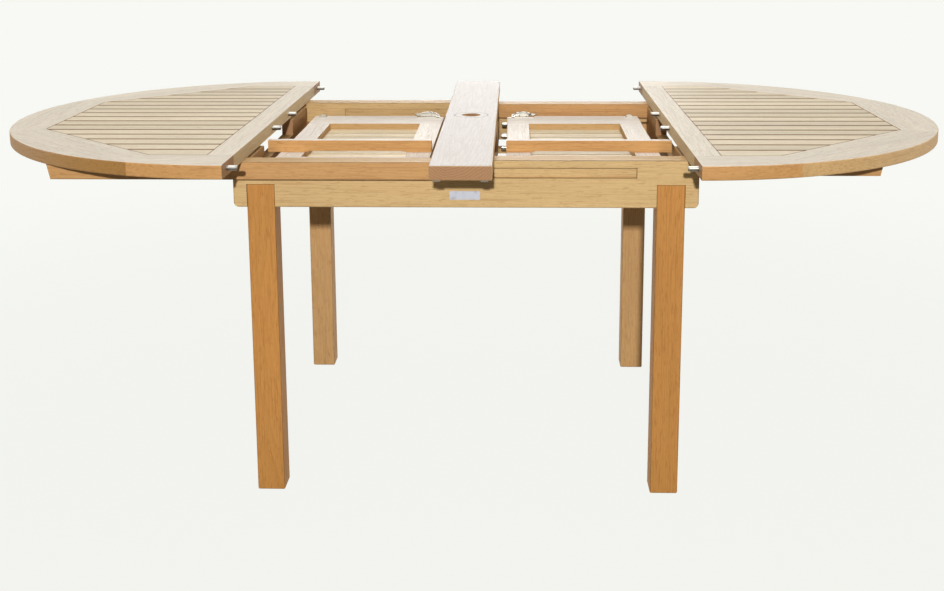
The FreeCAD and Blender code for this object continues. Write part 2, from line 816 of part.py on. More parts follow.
os.makedirs("parts", exist_ok=True)
make_base()
make_half_tops()
make_leaves()
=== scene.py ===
"""Oval extending dining table in teak, pulled out, with its two folding leaves in their wells."""

from __future__ import annotations

import json
import logging
import math
from dataclasses import dataclass, field
from enum import Enum
from typing import Any, Optional, Sequence, Union

import bmesh
import bpy
from mathutils import Matrix, Vector

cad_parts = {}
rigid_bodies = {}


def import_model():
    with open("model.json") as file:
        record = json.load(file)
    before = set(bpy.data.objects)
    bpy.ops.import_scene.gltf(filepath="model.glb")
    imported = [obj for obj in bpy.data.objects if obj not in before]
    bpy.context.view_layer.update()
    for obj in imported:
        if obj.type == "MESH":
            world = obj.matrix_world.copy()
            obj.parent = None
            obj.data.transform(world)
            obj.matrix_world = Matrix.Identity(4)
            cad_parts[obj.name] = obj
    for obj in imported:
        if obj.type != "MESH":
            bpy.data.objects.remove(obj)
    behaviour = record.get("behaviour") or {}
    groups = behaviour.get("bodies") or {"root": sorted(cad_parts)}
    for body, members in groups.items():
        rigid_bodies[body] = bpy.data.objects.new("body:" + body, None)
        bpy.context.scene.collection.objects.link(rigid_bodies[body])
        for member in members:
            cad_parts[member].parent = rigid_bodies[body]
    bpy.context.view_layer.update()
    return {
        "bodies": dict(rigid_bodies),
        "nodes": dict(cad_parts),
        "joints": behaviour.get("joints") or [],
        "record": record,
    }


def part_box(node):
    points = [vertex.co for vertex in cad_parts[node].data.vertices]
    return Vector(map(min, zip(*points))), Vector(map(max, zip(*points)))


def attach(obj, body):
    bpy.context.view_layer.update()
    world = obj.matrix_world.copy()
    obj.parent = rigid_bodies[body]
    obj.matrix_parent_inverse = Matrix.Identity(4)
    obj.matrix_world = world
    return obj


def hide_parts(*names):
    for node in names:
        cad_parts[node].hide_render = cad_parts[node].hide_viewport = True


log = logging.getLogger("table")

Colour = tuple[float, float, float]
Place = tuple[float, float, float]
Point = tuple[float, float]
Box = tuple[Sequence[float], Sequence[float]]
Socket = bpy.types.NodeSocket
Feed = Union[Socket, float, int, bool, Sequence[float], bpy.types.Material]
Feeds = dict[Union[str, int], Feed]

TONE_ATTRIBUTE = "tone"


class Grain(Enum):
    """Run of the fibres, as a turn about the upright axis in degrees where they lie flat."""

    ALONG_TABLE = 0.0
    ACROSS_TABLE = 90.0
    UPRIGHT = None


class Spread(Enum):
    """How the pieces of one node are told apart, so that each board has its own tone."""

    SINGLE = "single"
    FRONT_AND_BACK = "front_and_back"
    BY_BOARD = "by_board"


def linear(red: int, green: int, blue: int) -> Colour:
    """Turn a display colour into the linear values that a shader takes.

    Args:
        red: Red from 0 to 255.
        green: Green from 0 to 255.
        blue: Blue from 0 to 255.

    Returns:
        The three linear values.
    """
    knee, slope, offset, power = 0.04045, 12.92, 0.055, 2.4
    values = []
    for part in (red, green, blue):
        share = part / 255.0
        values.append(share / slope if share <= knee else ((share + offset) / (1.0 + offset)) ** power)
    return values[0], values[1], values[2]


@dataclass
class NodeSheet:
    """A node tree that is filled node by node."""

    tree: bpy.types.NodeTree

    def add(self, kind: str, feeds: Optional[Feeds] = None, **settings: Any) -> bpy.types.Node:
        """Add a node, set its options and feed its inputs.

        Args:
            kind: Blender's name of the node type.
            feeds: Value or socket for each input, by its name or number.
            **settings: Options of the node itself.

        Returns:
            The new node.
        """
        node = self.tree.nodes.new(kind)
        for option, value in settings.items():
            setattr(node, option, value)
        self.feed(node, feeds or {})
        return node

    def feed(self, node: bpy.types.Node, feeds: Feeds) -> None:
        """Feed the inputs of a node.

        Args:
            node: The node.
            feeds: Value or socket for each input, by its name or number.
        """
        for key, feed in feeds.items():
            if isinstance(feed, bpy.types.NodeSocket):
                self.tree.links.new(feed, node.inputs[key])
            else:
                node.inputs[key].default_value = feed

    def out(self, kind: str, feeds: Optional[Feeds] = None, **settings: Any) -> Socket:
        """Add a node and take its first output."""
        return self.add(kind, feeds, **settings).outputs[0]

    def math(self, operation: str, first: Feed, second: Feed = 0.0, third: Feed = 0.0) -> Socket:
        """Work out a number from up to three others."""
        return self.out("ShaderNodeMath", {0: first, 1: second, 2: third}, operation=operation)

    def split(self, vector: Feed) -> tuple[Socket, Socket, Socket]:
        """Take a vector apart into its three numbers."""
        outputs = self.add("ShaderNodeSeparateXYZ", {0: vector}).outputs
        return outputs[0], outputs[1], outputs[2]

    def join(self, x: Feed, y: Feed, z: Feed) -> Socket:
        """Make a vector from three numbers."""
        return self.out("ShaderNodeCombineXYZ", {0: x, 1: y, 2: z})

    def ramp(self, value: Socket, low: float, high: float) -> Socket:
        """Spread the stretch between two values smoothly over 0 to 1."""
        feeds = {"Value": value, "From Min": low, "From Max": high}
        return self.out("ShaderNodeMapRange", feeds, interpolation_type="SMOOTHSTEP")

    def between(self, share: Feed, first: Feed, second: Feed) -> Socket:
        """Go from one number to another."""
        return self.out("ShaderNodeMix", {0: share, 2: first, 3: second}, data_type="FLOAT")

    def blend(self, share: Feed, first: Feed, second: Feed, mode: str = "MIX") -> Socket:
        """Mix two colours."""
        feeds = {0: share, 6: padded(first), 7: padded(second)}
        return self.add("ShaderNodeMix", feeds, data_type="RGBA", blend_type=mode).outputs[2]


def padded(colour: Feed) -> Feed:
    """Give a plain colour its fourth value."""
    return (*colour, 1.0) if isinstance(colour, tuple) else colour


def cleared(owner: Union[bpy.types.Material, bpy.types.World]) -> NodeSheet:
    """Empty the node tree of a material or a world.

    Args:
        owner: The material or world.

    Returns:
        Its node sheet.
    """
    owner.use_nodes = True
    owner.node_tree.nodes.clear()
    return NodeSheet(owner.node_tree)


def new_material(name: str) -> tuple[bpy.types.Material, NodeSheet, bpy.types.Node]:
    """Start a material with one surface shader.

    Args:
        name: Name of the material.

    Returns:
        The material, its node sheet and its surface shader.
    """
    material = bpy.data.materials.new(name)
    sheet = cleared(material)
    shader = sheet.add("ShaderNodeBsdfPrincipled")
    sheet.add("ShaderNodeOutputMaterial", {"Surface": shader.outputs[0]})
    return material, sheet, shader


@dataclass(frozen=True)
class Streak:
    """Streaks along the fibres: their number to the metre, slimness, fine detail and wandering."""

    scale: float
    stretch: float
    detail: float
    wander: float
    dark: Point = (0.0, 1.0)

    def build(self, sheet: NodeSheet, fibre: Socket) -> Socket:
        """Make the streaks.

        Args:
            sheet: The material's node sheet.
            fibre: Point whose first number runs along the fibres.

        Returns:
            A number from 0 to 1.
        """
        slim = self.scale * self.stretch
        scales = (self.scale, slim, slim)
        narrow = sheet.out("ShaderNodeVectorMath", {0: fibre, 1: scales}, operation="MULTIPLY")
        feeds = {"Vector": narrow, "Scale": 1.0, "Detail": self.detail, "Distortion": self.wander}
        return sheet.out("ShaderNodeTexNoise", feeds)


@dataclass(frozen=True)
class TeakFinish:
    """Sanded teak: paler on the upper faces, where light from above is painted into the colour, browner on
    the cut ends.
    """

    name: str
    side: Colour
    upper: Colour
    grain: Grain = Grain.ALONG_TABLE
    turn: float = 0.0
    spread: Spread = Spread.SINGLE
    turned_band: Optional[Point] = None
    tone_range: float = 0.10
    figure_depth: float = 0.13
    vein_depth: float = 0.36
    shift: float = 0.0
    upper_light_ramp: Point = (0.6, 0.95)
    two_faced: bool = False
    edges: tuple[Box, ...] = ()
    ring_shadow_radius: Optional[float] = None

    end: Colour = linear(172, 132, 94)
    cut_end: Point = (0.72, 0.95)
    figure: Streak = Streak(2.2, 11.0, 3.0, 0.5)
    vein: Streak = Streak(7.0, 55.0, 4.0, 0.3, (0.50, 0.70))
    dash: Streak = Streak(42.0, 9.0, 2.0, 0.0, (0.54, 0.70))
    pore: Streak = Streak(60.0, 22.0, 2.0, 0.0, (0.58, 0.70))
    board_step: float = 9.7
    ring_depth: float = 0.16
    end_ring_depth: float = 0.42
    ring_pitch: float = 0.0050
    ring_bend: float = 3.0
    late_wood: float = 2.5
    heart_cell: Point = (0.11, 0.13)
    heart_lean: float = 0.035
    # Painted shadow lines: width, darkness and colour of the dark lines drawn along box edges and round the
    # ring.
    shadow_line_width: float = 0.0013
    shadow_line_depth: float = 0.55
    ring_shadow_depth: float = 0.6
    faces_at_edge: float = 1.5
    shadow_line_colour: Colour = (0.055, 0.027, 0.009)
    roughness: float = 0.52
    rough_range: float = 0.2
    dark_relief: float = 2.0
    bump_strength: float = 0.35
    bump_distance: float = 0.0006
    gloss: float = 0.16

    def build(self) -> bpy.types.Material:
        """Make the material.

        Returns:
            The finished material.
        """
        material, sheet, shader = new_material(self.name)
        coordinates = sheet.add("ShaderNodeTexCoord").outputs
        place, normal = coordinates["Object"], coordinates["Normal"]
        board_place, tone = self.place_and_tone(sheet, place)
        fibre = self.along_fibre(sheet, board_place, place)
        facing = self.along_fibre(sheet, normal, place)
        end_share = sheet.ramp(sheet.math("ABSOLUTE", sheet.split(facing)[0]), *self.cut_end)
        # Painted light: faces that turn upwards take the pale upper colour and the others the side colour;
        # two-faced pieces take it on faces that turn downwards too.
        level = sheet.split(normal)[2]
        if self.two_faced:
            level = sheet.math("ABSOLUTE", level)
        body = sheet.blend(sheet.ramp(level, *self.upper_light_ramp), self.side, self.upper)
        body = sheet.blend(end_share, body, self.end)
        figure = self.figure.build(sheet, fibre)
        lift = sheet.math("MULTIPLY_ADD", figure, 2.0 * self.figure_depth, 1.0 - self.figure_depth)
        lift = sheet.math("MULTIPLY", lift, tone)
        body = sheet.out("ShaderNodeVectorMath", {0: body, "Scale": lift}, operation="SCALE")
        ring_depth = sheet.between(end_share, self.ring_depth, self.end_ring_depth)
        dark = sheet.math("MULTIPLY", self.growth_rings(sheet, fibre, figure), ring_depth)
        vein = self.vein.build(sheet, fibre)
        streaks = (vein, self.dash.build(sheet, fibre), self.pore.build(sheet, fibre))
        for streak, kind in zip(streaks, (self.vein, self.dash, self.pore)):
            share = sheet.math("MULTIPLY", sheet.ramp(streak, *kind.dark), self.vein_depth)
            dark = sheet.math("MAXIMUM", dark, share)
        veined = sheet.blend(dark, body, self.end, "MULTIPLY")
        relief = sheet.math("SUBTRACT", figure, sheet.math("MULTIPLY", dark, self.dark_relief))
        bump_feeds = {"Strength": self.bump_strength, "Distance": self.bump_distance, "Height": relief}
        rough_start = self.roughness - self.rough_range / 2.0
        surface = {
            # Painted shadow lines darken the colour along box edges and round the ring.
            "Base Color": sheet.blend(self.painted_shadow_lines(sheet, place), veined, self.shadow_line_colour),
            "Roughness": sheet.math("MULTIPLY_ADD", vein, self.rough_range, rough_start),
            "Normal": sheet.out("ShaderNodeBump", bump_feeds),
            "Specular IOR Level": self.gloss,
        }
        sheet.feed(shader, surface)
        return material

    def growth_rings(self, sheet: NodeSheet, fibre: Socket, figure: Socket) -> Socket:
        """Rings about hearts that lean a little, so that flat faces show long arches.

        Args:
            sheet: The material's node sheet.
            fibre: Point whose first number runs along the fibres.
            figure: Slow streaks that bend the rings.

        Returns:
            A number from 0 to 1, dark at each ring's late wood.
        """
        along, beside, depth = sheet.split(fibre)
        lean = sheet.math("MULTIPLY", along, self.heart_lean)
        squares = []
        for number, cell in zip((beside, depth), self.heart_cell):
            span = sheet.math("PINGPONG", sheet.math("ADD", number, lean), cell)
            squares.append(sheet.math("POWER", span, 2.0))
        radius = sheet.math("SQRT", sheet.math("ADD", *squares))
        bent = sheet.math("MULTIPLY_ADD", figure, self.ring_pitch * self.ring_bend, radius)
        phase = sheet.math("FRACT", sheet.math("DIVIDE", bent, self.ring_pitch))
        return sheet.math("POWER", phase, self.late_wood)

    def painted_shadow_lines(self, sheet: NodeSheet, place: Socket) -> Feed:
        """Painted shadow lines along the edges of each listed box, and round the parasol ring.

        Args:
            sheet: The material's node sheet.
            place: The point on the piece.

        Returns:
            The share of the dark colour.
        """
        numbers = sheet.split(place)
        # Painted shadow: a dark ring where the parasol ring meets the board.
        if self.ring_shadow_radius is not None:
            squares = [sheet.math("POWER", number, 2.0) for number in numbers[:2]]
            radius = sheet.math("SQRT", sheet.math("ADD", *squares))
            near = sheet.math("COMPARE", radius, self.ring_shadow_radius, self.shadow_line_width)
            return sheet.math("MULTIPLY", near, self.ring_shadow_depth)
        lines: Feed = 0.0
        for box in self.edges:
            faces: Feed = 0.0
            within: Feed = 1.0
            for number, low, high in zip(numbers, *box):
                reach = (high - low) / 2.0 + self.shadow_line_width
                inside = sheet.math("COMPARE", number, (low + high) / 2.0, reach)
                within = sheet.math("MULTIPLY", inside, within)
                for face in (low, high):
                    faces = sheet.math("ADD", sheet.math("COMPARE", number, face, self.shadow_line_width), faces)
            line = sheet.math("MULTIPLY", sheet.math("GREATER_THAN", faces, self.faces_at_edge), within)
            lines = sheet.math("MAXIMUM", line, lines)
        return sheet.math("MULTIPLY", lines, self.shadow_line_depth)

    def place_and_tone(self, sheet: NodeSheet, place: Socket) -> tuple[Socket, Feed]:
        """Move the grain on from board to board, and give each board its tone.

        Args:
            sheet: The material's node sheet.
            place: The point on the piece.

        Returns:
            The moved point, and the tone that multiplies the colour.
        """
        number: Feed = 0.0
        if self.spread is Spread.BY_BOARD:
            number = sheet.add("ShaderNodeAttribute", attribute_name=TONE_ATTRIBUTE).outputs["Fac"]
        elif self.spread is Spread.FRONT_AND_BACK:
            number = sheet.math("GREATER_THAN", sheet.split(place)[1], 0.0)
        away = sheet.math("MULTIPLY_ADD", number, self.board_step, self.shift)
        feeds = {0: place, 1: sheet.join(away, 0.0, away)}
        board_place = sheet.out("ShaderNodeVectorMath", feeds, operation="ADD")
        if self.spread is Spread.SINGLE:
            return board_place, 1.0
        return board_place, sheet.math("MULTIPLY_ADD", number, 2.0 * self.tone_range, 1.0 - self.tone_range)

    def along_fibre(self, sheet: NodeSheet, vector: Socket, place: Socket) -> Socket:
        """Turn a vector so that its first number runs along the fibres.

        Args:
            sheet: The material's node sheet.
            vector: A point or a face direction on the piece.
            place: The point on the piece, which says which board it is.

        Returns:
            The turned vector.
        """
        x, y, z = sheet.split(vector)
        if self.grain is Grain.UPRIGHT:
            return sheet.join(z, x, y)
        across = sheet.split(place)[1]
        if self.spread is Spread.FRONT_AND_BACK:
            y = sheet.math("MULTIPLY", y, sheet.math("SIGN", across))
        angle = math.radians(self.grain.value + self.turn)
        cosine, sine = math.cos(angle), math.sin(angle)
        along = sheet.math("ADD", sheet.math("MULTIPLY", x, cosine), sheet.math("MULTIPLY", y, sine))
        beside = sheet.math("SUBTRACT", sheet.math("MULTIPLY", y, cosine), sheet.math("MULTIPLY", x, sine))
        turned = sheet.join(along, beside, z)
        if self.turned_band is None:
            return turned
        low, high = self.turned_band
        inside = sheet.math("COMPARE", across, (low + high) / 2.0, (high - low) / 2.0)
        feeds = {0: inside, 4: turned, 5: sheet.join(beside, along, z)}
        return sheet.add("ShaderNodeMix", feeds, data_type="VECTOR").outputs[1]


@dataclass(frozen=True)
class MetalFinish:
    """Bare or plated metal with fine rubbing marks, painted shade on faces that turn from straight up, and
    noise blotches, which on the latch are strong painted dark reflections and shade.
    """

    name: str
    colour: Colour
    dark: Colour
    roughness: float
    scratch_scale: Place = (900.0, 60.0, 900.0)
    shade_depth: float = 0.85
    blotch_scale: float = 90.0
    blotch_depth: float = 0.35

    shaded_below: Point = (0.75, -0.1)
    blotch_ramp: Point = (0.5, 0.75)
    blotch_detail: float = 3.0
    scratch_detail: float = 4.0
    rough_range: float = 0.2
    bump_strength: float = 0.3
    scratch_depth: float = 0.00005

    def build(self) -> bpy.types.Material:
        """Make the material.

        Returns:
            The finished material.
        """
        material, sheet, shader = new_material(self.name)
        coordinates = sheet.add("ShaderNodeTexCoord").outputs
        place = coordinates["Object"]
        narrow = sheet.out("ShaderNodeVectorMath", {0: place, 1: self.scratch_scale}, operation="MULTIPLY")
        scratch_feeds = {"Vector": narrow, "Scale": 1.0, "Detail": self.scratch_detail}
        scratch = sheet.out("ShaderNodeTexNoise", scratch_feeds)
        # Noise blotches darken the colour; on the latch they are painted dark reflections and shade.
        blotch_feeds = {"Vector": place, "Scale": self.blotch_scale, "Detail": self.blotch_detail}
        blotches = sheet.ramp(sheet.out("ShaderNodeTexNoise", blotch_feeds), *self.blotch_ramp)
        shaded = sheet.ramp(sheet.split(coordinates["Normal"])[2], *self.shaded_below)
        shaded = sheet.math("MULTIPLY", shaded, self.shade_depth)
        share = sheet.math("MAXIMUM", sheet.math("MULTIPLY", blotches, self.blotch_depth), shaded)
        bump_feeds = {"Strength": self.bump_strength, "Distance": self.scratch_depth, "Height": scratch}
        rough_start = self.roughness - self.rough_range / 2.0
        surface = {
            "Base Color": sheet.blend(share, self.colour, self.dark),
            "Roughness": sheet.math("MULTIPLY_ADD", scratch, self.rough_range, rough_start),
            "Normal": sheet.out("ShaderNodeBump", bump_feeds),
            "Metallic": 1.0,
        }
        sheet.feed(shader, surface)
        return material


def plain_mesh(name: str, tree: bpy.types.NodeTree, values: dict[str, Feed]) -> bpy.types.Object:
    """Run a geometry tree and keep its result as a plain mesh.

    Args:
        name: Name of the piece.
        tree: The geometry tree.
        values: Value of each named input.

    Returns:
        The piece, linked to the scene, with no modifier left on it.
    """
    holder = bpy.data.objects.new(name, bpy.data.meshes.new(name))
    bpy.context.scene.collection.objects.link(holder)
    modifier = holder.modifiers.new("shape", "NODES")
    modifier.node_group = tree
    for item in tree.interface.items_tree:
        if item.in_out == "INPUT" and item.name in values:
            modifier[item.identifier] = values[item.name]
    evaluated = holder.evaluated_get(bpy.context.evaluated_depsgraph_get())
    mesh = bpy.data.meshes.new_from_object(evaluated)
    holder.modifiers.remove(modifier)
    holder.data = mesh
    mesh.name = name
    return holder


def soften(piece: bpy.types.Object, width: float) -> None:
    """Round the sharp edges of a piece.

    Args:
        piece: The piece.
        width: Width of the rounding in metres.
    """
    bevel = piece.modifiers.new("soft_edges", "BEVEL")
    bevel.width = width
    bevel.segments = 2
    bevel.limit_method = "ANGLE"
    bevel.angle_limit = math.radians(40.0)
    bevel.harden_normals = False


def new_tree(name: str, kinds: dict[str, Sequence[str]]) -> tuple[NodeSheet, Any]:
    """Start a geometry tree with named inputs and a mesh as its output.

    Args:
        name: Name of the tree.
        kinds: Names of the inputs, by their kind of socket.

    Returns:
        The tree's node sheet and the sockets of its inputs.
    """
    tree = bpy.data.node_groups.new(name, "GeometryNodeTree")
    for kind, labels in kinds.items():
        for label in labels:
            tree.interface.new_socket(label, in_out="INPUT", socket_type="NodeSocket" + kind)
    tree.interface.new_socket("Geometry", in_out="OUTPUT", socket_type="NodeSocketGeometry")
    sheet = NodeSheet(tree)
    return sheet, sheet.add("NodeGroupInput").outputs


def close_tree(sheet: NodeSheet, mesh: Socket, finish: Socket) -> bpy.types.NodeTree:
    """Dress the mesh that a geometry tree has made, and end the tree with it."""
    sheet.add("NodeGroupOutput", {0: sheet.out("GeometryNodeSetMaterial", {0: mesh, "Material": finish})})
    return sheet.tree


def slat_tree() -> bpy.types.NodeTree:
    """Tree for a field of slats, whose outer ends can follow the slanted inner line of a rim.

    Returns:
        The geometry tree.
    """
    rows, edge_share = 9, 0.75
    lengths = ("Middle", "Half Width", "Gap", "Inner End", "Outer End", "Slant Start", "Slant Slope")
    lengths += ("Top", "Thickness", "Side")
    kinds = {"Float": lengths, "Int": ("Count", "Seed"), "Material": ("Finish",)}
    sheet, given = new_tree("slat_field", kinds)
    pitch = sheet.math("DIVIDE", sheet.math("MULTIPLY", given["Half Width"], 2.0), given["Count"])
    start = sheet.math("SUBTRACT", sheet.math("DIVIDE", pitch, 2.0), given["Half Width"])
    line_feeds = {"Count": given["Count"], "Start Location": sheet.join(0.0, start, 0.0)}
    line_feeds["Offset"] = sheet.join(0.0, pitch, 0.0)
    line = sheet.out("GeometryNodeMeshLine", line_feeds, mode="OFFSET")
    width = sheet.math("SUBTRACT", pitch, given["Gap"])
    cube_feeds = {"Size": sheet.join(2.0, width, given["Thickness"]), "Vertices Y": rows}
    cube = sheet.out("GeometryNodeMeshCube", cube_feeds)
    boards = sheet.out("GeometryNodeInstanceOnPoints", {"Points": line, "Instance": cube})
    random = sheet.add("FunctionNodeRandomValue", {"Seed": given["Seed"]}, data_type="FLOAT").outputs[1]
    tone_feeds = {"Geometry": boards, "Name": TONE_ATTRIBUTE, "Value": random}
    toned = sheet.out("GeometryNodeStoreNamedAttribute", tone_feeds, data_type="FLOAT", domain="INSTANCE")
    loose = sheet.out("GeometryNodeRealizeInstances", {0: toned})
    end, across, height = sheet.split(sheet.out("GeometryNodeInputPosition"))
    edge = sheet.math("SUBTRACT", given["Half Width"], sheet.math("MULTIPLY", given["Gap"], edge_share))
    at_edge = sheet.math("GREATER_THAN", sheet.math("ABSOLUTE", across), edge)
    full = sheet.math("MULTIPLY", given["Half Width"], sheet.math("SIGN", across))
    across = sheet.between(at_edge, across, full)
    past = sheet.math("SUBTRACT", sheet.math("ABSOLUTE", across), given["Slant Start"])
    past = sheet.math("MAXIMUM", past, 0.0)
    outer = sheet.math("SUBTRACT", given["Outer End"], sheet.math("MULTIPLY", past, given["Slant Slope"]))
    along = sheet.between(sheet.math("GREATER_THAN", end, 0.0), given["Inner End"], outer)
    along = sheet.math("MULTIPLY", along, given["Side"])
    across = sheet.math("ADD", across, given["Middle"])
    middle = sheet.math("SUBTRACT", given["Top"], sheet.math("DIVIDE", given["Thickness"], 2.0))
    place = sheet.join(along, across, sheet.math("ADD", height, middle))
    placed = sheet.out("GeometryNodeSetPosition", {0: loose, "Position": place})
    inside_out = sheet.math("LESS_THAN", given["Side"], 0.0)
    faced = sheet.out("GeometryNodeFlipFaces", {0: placed, 1: inside_out})
    return close_tree(sheet, faced, given["Finish"])


def screw_tree() -> bpy.types.NodeTree:
    """Tree for screws driven upwards, each with a crossed slot in its head.

    Returns:
        The geometry tree.
    """
    head_sides, shank_sides, slot_share = 24, 16, 1.3
    lengths = ("Head Radius", "Head Height", "Shank Radius", "Length", "Slot Width", "Slot Depth")
    kinds = {"Float": lengths, "Object": ("Places",), "Material": ("Finish",)}
    sheet, given = new_tree("screw_set", kinds)
    head_feeds = {"Vertices": head_sides, "Radius": given["Head Radius"], "Depth": given["Head Height"]}
    head = sheet.out("GeometryNodeMeshCylinder", head_feeds)
    head = lifted(sheet, head, sheet.math("DIVIDE", given["Head Height"], 2.0))
    slot_long = sheet.math("MULTIPLY", given["Head Radius"], slot_share)
    slot_deep = sheet.math("MULTIPLY", given["Slot Depth"], 2.0)
    for long, wide in ((slot_long, given["Slot Width"]), (given["Slot Width"], slot_long)):
        slot = sheet.out("GeometryNodeMeshCube", {"Size": sheet.join(long, wide, slot_deep)})
        feeds = {0: head, 1: slot}
        head = sheet.out("GeometryNodeMeshBoolean", feeds, operation="DIFFERENCE", solver="EXACT")
    shank_length = sheet.math("SUBTRACT", given["Length"], given["Head Height"])
    shank_feeds = {"Vertices": shank_sides, "Radius": given["Shank Radius"], "Depth": shank_length}
    shank = sheet.out("GeometryNodeMeshCylinder", shank_feeds)
    middle = sheet.math("ADD", given["Head Height"], sheet.math("DIVIDE", shank_length, 2.0))
    screw = sheet.add("GeometryNodeJoinGeometry", {0: head})
    sheet.feed(screw, {0: lifted(sheet, shank, middle)})
    places = sheet.add("GeometryNodeObjectInfo", {0: given["Places"]}).outputs["Geometry"]
    feeds = {"Points": places, "Instance": screw.outputs[0]}
    screws = sheet.out("GeometryNodeInstanceOnPoints", feeds)
    loose = sheet.out("GeometryNodeRealizeInstances", {0: screws})
    return close_tree(sheet, loose, given["Finish"])


def lifted(sheet: NodeSheet, mesh: Socket, height: Socket) -> Socket:
    """Lift a mesh by a height inside a geometry tree."""
    return sheet.out("GeometryNodeTransform", {0: mesh, "Translation": sheet.join(0.0, 0.0, height)})


@dataclass(frozen=True)
class Palette:
    """Colours of the table's woods and metals."""

    # The upper colours are painted light: they go on faces that turn upwards, and the side colours go on the
    # rest.
    upper: Colour = linear(233, 222, 204)
    upper_slat: Colour = linear(229, 215, 188)
    board_upper: Colour = linear(208, 200, 193)
    leaf_upper: Colour = linear(240, 232, 220)
    leaf_slat: Colour = linear(232, 214, 178)
    side: Colour = linear(196, 160, 108)
    rim_side: Colour = linear(202, 153, 96)
    # Painted light: the left rim corners are darker and the right ones paler, for how light falls on each
    # side.
    shaded_left_corner_side: Colour = linear(170, 127, 70)
    lit_right_corner_side: Colour = linear(210, 172, 118)
    rail_side: Colour = linear(206, 180, 136)
    # Painted shade: the rails and the board block are darker brown for the shade they stand in.
    shaded_rail_side: Colour = linear(168, 124, 76)
    batten_side: Colour = linear(204, 156, 98)
    # Painted shade: the slats' sides and rounded edges are dark for the shade in the gaps between the slats.
    gap_shaded_slat_side: Colour = linear(122, 86, 42)
    apron_side: Colour = linear(213, 180, 126)
    runner_side: Colour = linear(199, 153, 99)
    leg_side: Colour = linear(197, 139, 73)
    # Painted light: the back legs are paler than the front ones to make up for the light they lack.
    brightened_back_leg_side: Colour = linear(216, 170, 114)
    steel: Colour = linear(196, 194, 188)
    steel_dark: Colour = linear(84, 76, 64)
    plating: Colour = linear(226, 224, 214)
    plate: Colour = linear(158, 159, 166)


@dataclass
class Workshop:
    """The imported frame, and the trees and finishes that all sub-assemblies share."""

    frame: dict[str, Any]
    palette: Palette = field(default_factory=Palette)
    finishes: dict[str, bpy.types.Material] = field(default_factory=dict)
    slats: Optional[bpy.types.NodeTree] = None
    screws: Optional[bpy.types.NodeTree] = None

    def prepare(self) -> None:
        """Build the trees and the metal finishes."""
        self.slats = slat_tree()
        self.screws = screw_tree()
        plating, dark = self.palette.plating, self.palette.steel_dark
        brushed = (40.0, 900.0, 2500.0)
        # Painted reflections and shade: strong dark blotches on the latch's bright plating.
        painted_reflection_blotches = {"blotch_scale": 150.0, "blotch_depth": 2.4}
        for finish in (
            MetalFinish("turned_steel", self.palette.steel, dark, 0.32),
            MetalFinish("bright_plating", plating, dark, 0.2, shade_depth=0.25),
            MetalFinish("latch_plating", plating, dark, 0.2, shade_depth=0.45, **painted_reflection_blotches),
            MetalFinish("satin_plate", self.palette.plate, dark, 0.5, brushed, shade_depth=0.0),
        ):
            self.finishes[finish.name] = finish.build()

    def material(self, finish: Union[TeakFinish, str]) -> bpy.types.Material:
        """Material of a finish, built when it is first asked for.

        Args:
            finish: A wood finish, or the name of a metal one.

        Returns:
            The material.
        """
        name = finish if isinstance(finish, str) else finish.name
        if name not in self.finishes:
            self.finishes[name] = finish.build()
        return self.finishes[name]

    def dress(self, node: str, finish: Union[TeakFinish, str]) -> None:
        """Give every slot of a node of the frame the same finish.

        Args:
            node: Name of the node.
            finish: A wood finish, or the name of a metal one.
        """
        piece, material = self.frame["nodes"][node], self.material(finish)
        if not piece.material_slots:
            piece.data.materials.append(material)
        for slot in piece.material_slots:
            slot.material = material
        log.info("%s: %s", node, material.name)

    def place(self, piece: bpy.types.Object, body: str, slot: str, *nodes: str) -> None:
        """Let a new piece stand for nodes of the frame.

        Args:
            piece: The new piece.
            body: Body that it moves with.
            slot: Material slot of the record; not used.
            *nodes: Nodes that it replaces.
        """
        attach(piece, body)
        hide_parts(*nodes)
        log.info("%s replaces %s", piece.name, ", ".join(nodes))


@dataclass
class ScrewSet:
    """Screws of one size, driven upwards from below, which stand for a node of plain ones."""

    shop: Workshop
    node: str
    head_radius: float = 0.005
    head_height: float = 0.003
    shank_radius: float = 0.0025
    slot_width: float = 0.0012
    slot_depth: float = 0.0016

    def build(self, name: str, body: str, places: Sequence[Point]) -> None:
        """Make the screws.

        Args:
            name: Name of the piece.
            body: Body that it moves with.
            places: Where the screws stand in plan.
        """
        low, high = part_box(self.node)
        points = bpy.data.meshes.new(name + "_places")
        points.from_pydata([(x, y, low[2]) for x, y in places], [], [])
        holder = bpy.data.objects.new(name + "_places", points)
        values = {
            "Head Radius": self.head_radius,
            "Head Height": self.head_height,
            "Shank Radius": self.shank_radius,
            "Length": high[2] - low[2],
            "Slot Width": self.slot_width,
            "Slot Depth": self.slot_depth,
            "Places": holder,
            "Finish": self.shop.material("turned_steel"),
        }
        screws = plain_mesh(name, self.shop.screws, values)
        bpy.data.objects.remove(holder)
        self.shop.place(screws, body, "steel", self.node)


